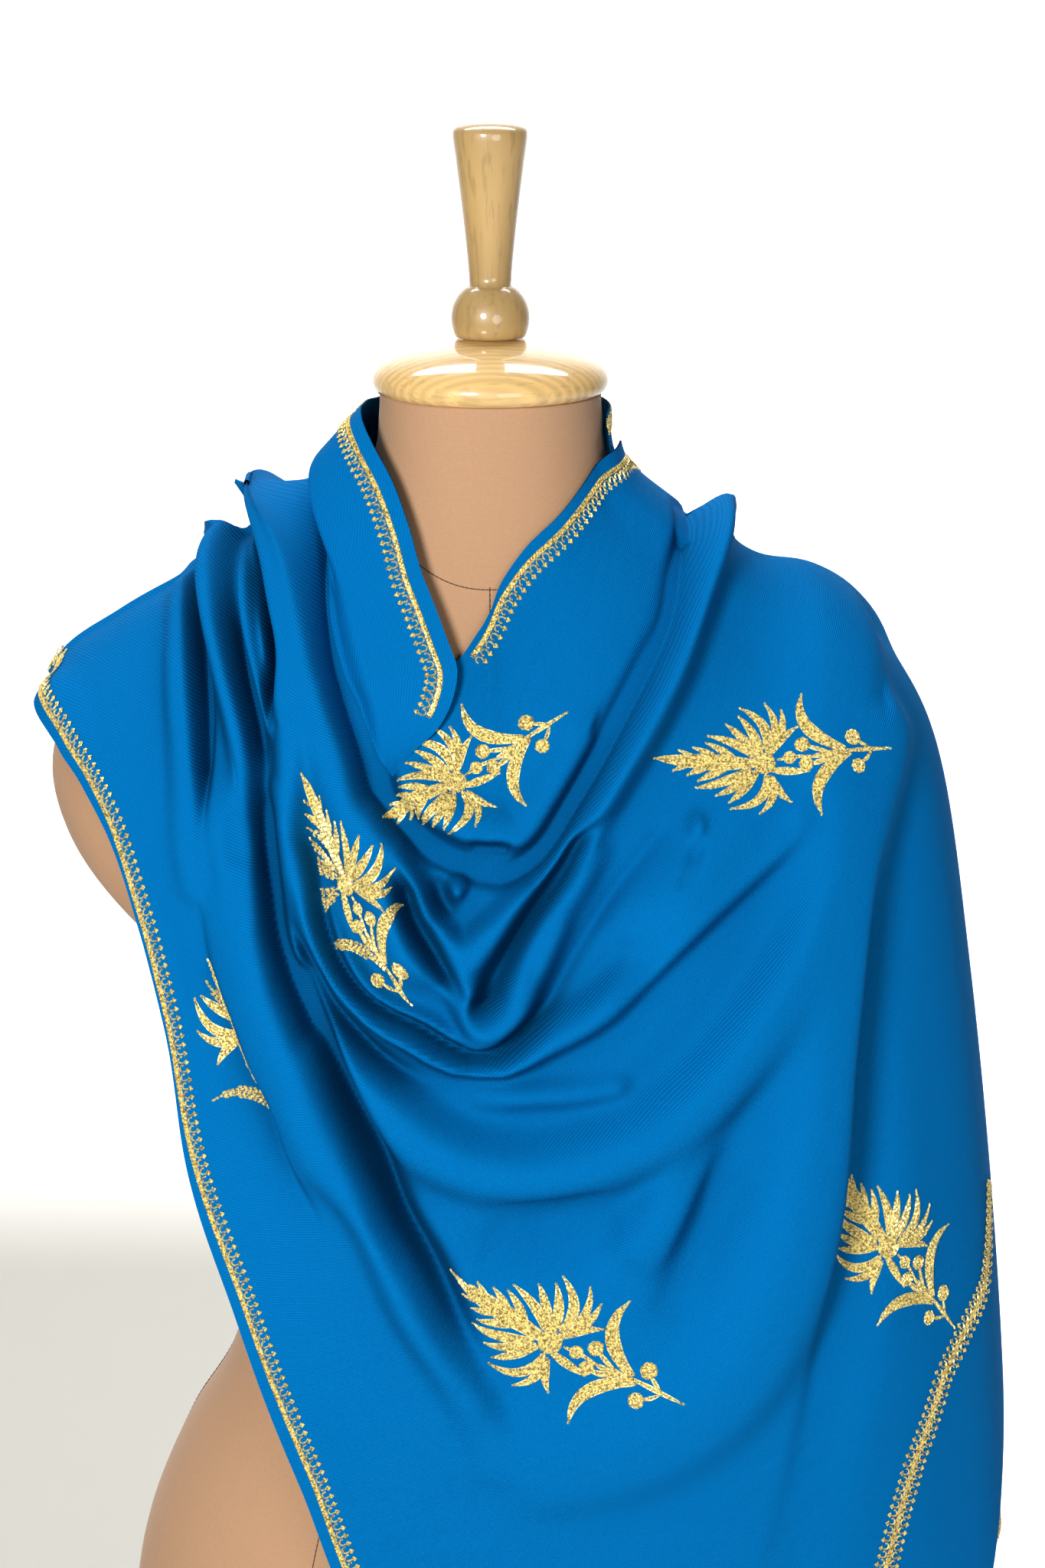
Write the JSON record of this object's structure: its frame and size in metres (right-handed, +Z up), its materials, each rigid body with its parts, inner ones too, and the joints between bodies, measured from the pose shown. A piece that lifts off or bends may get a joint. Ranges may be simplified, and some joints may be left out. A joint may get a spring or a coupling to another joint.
{
  "type": "pashmina shawl draped on a limbless dress form with stand",
  "caption": "Long embroidered wool stole swagged over a limbless tailor's dress form with a turned wooden neck cap, on a pole and round base.",
  "frame": {"origin": "centre of the round base's underside, on the floor", "axes": "+Z up along the pole and the form's centre line, -Y the way the form faces, +X to the right seen from the front"},
  "size_m": [0.4882, 0.34, 1.5917],
  "materials": {
    "shawl_wool": "fine twill pashmina wool, soft sheen",
    "gold_thread": "metallic gold chain stitch",
    "form_jersey": "ribbed cotton jersey, matt",
    "pale_wood": "clear gloss varnish",
    "painted_steel": "satin black enamel"
  },
  "bodies": {
    "root": {"shawl_front": "shawl_wool", "shawl_lapel": "shawl_wool", "shawl_back": "shawl_wool", "shawl_end": "shawl_wool", "form_torso": "form_jersey", "neck_cap": "pale_wood", "neck_finial": "pale_wood", "stand_pole": "painted_steel", "stand_base": "painted_steel"}
  },
  "joints": []
}
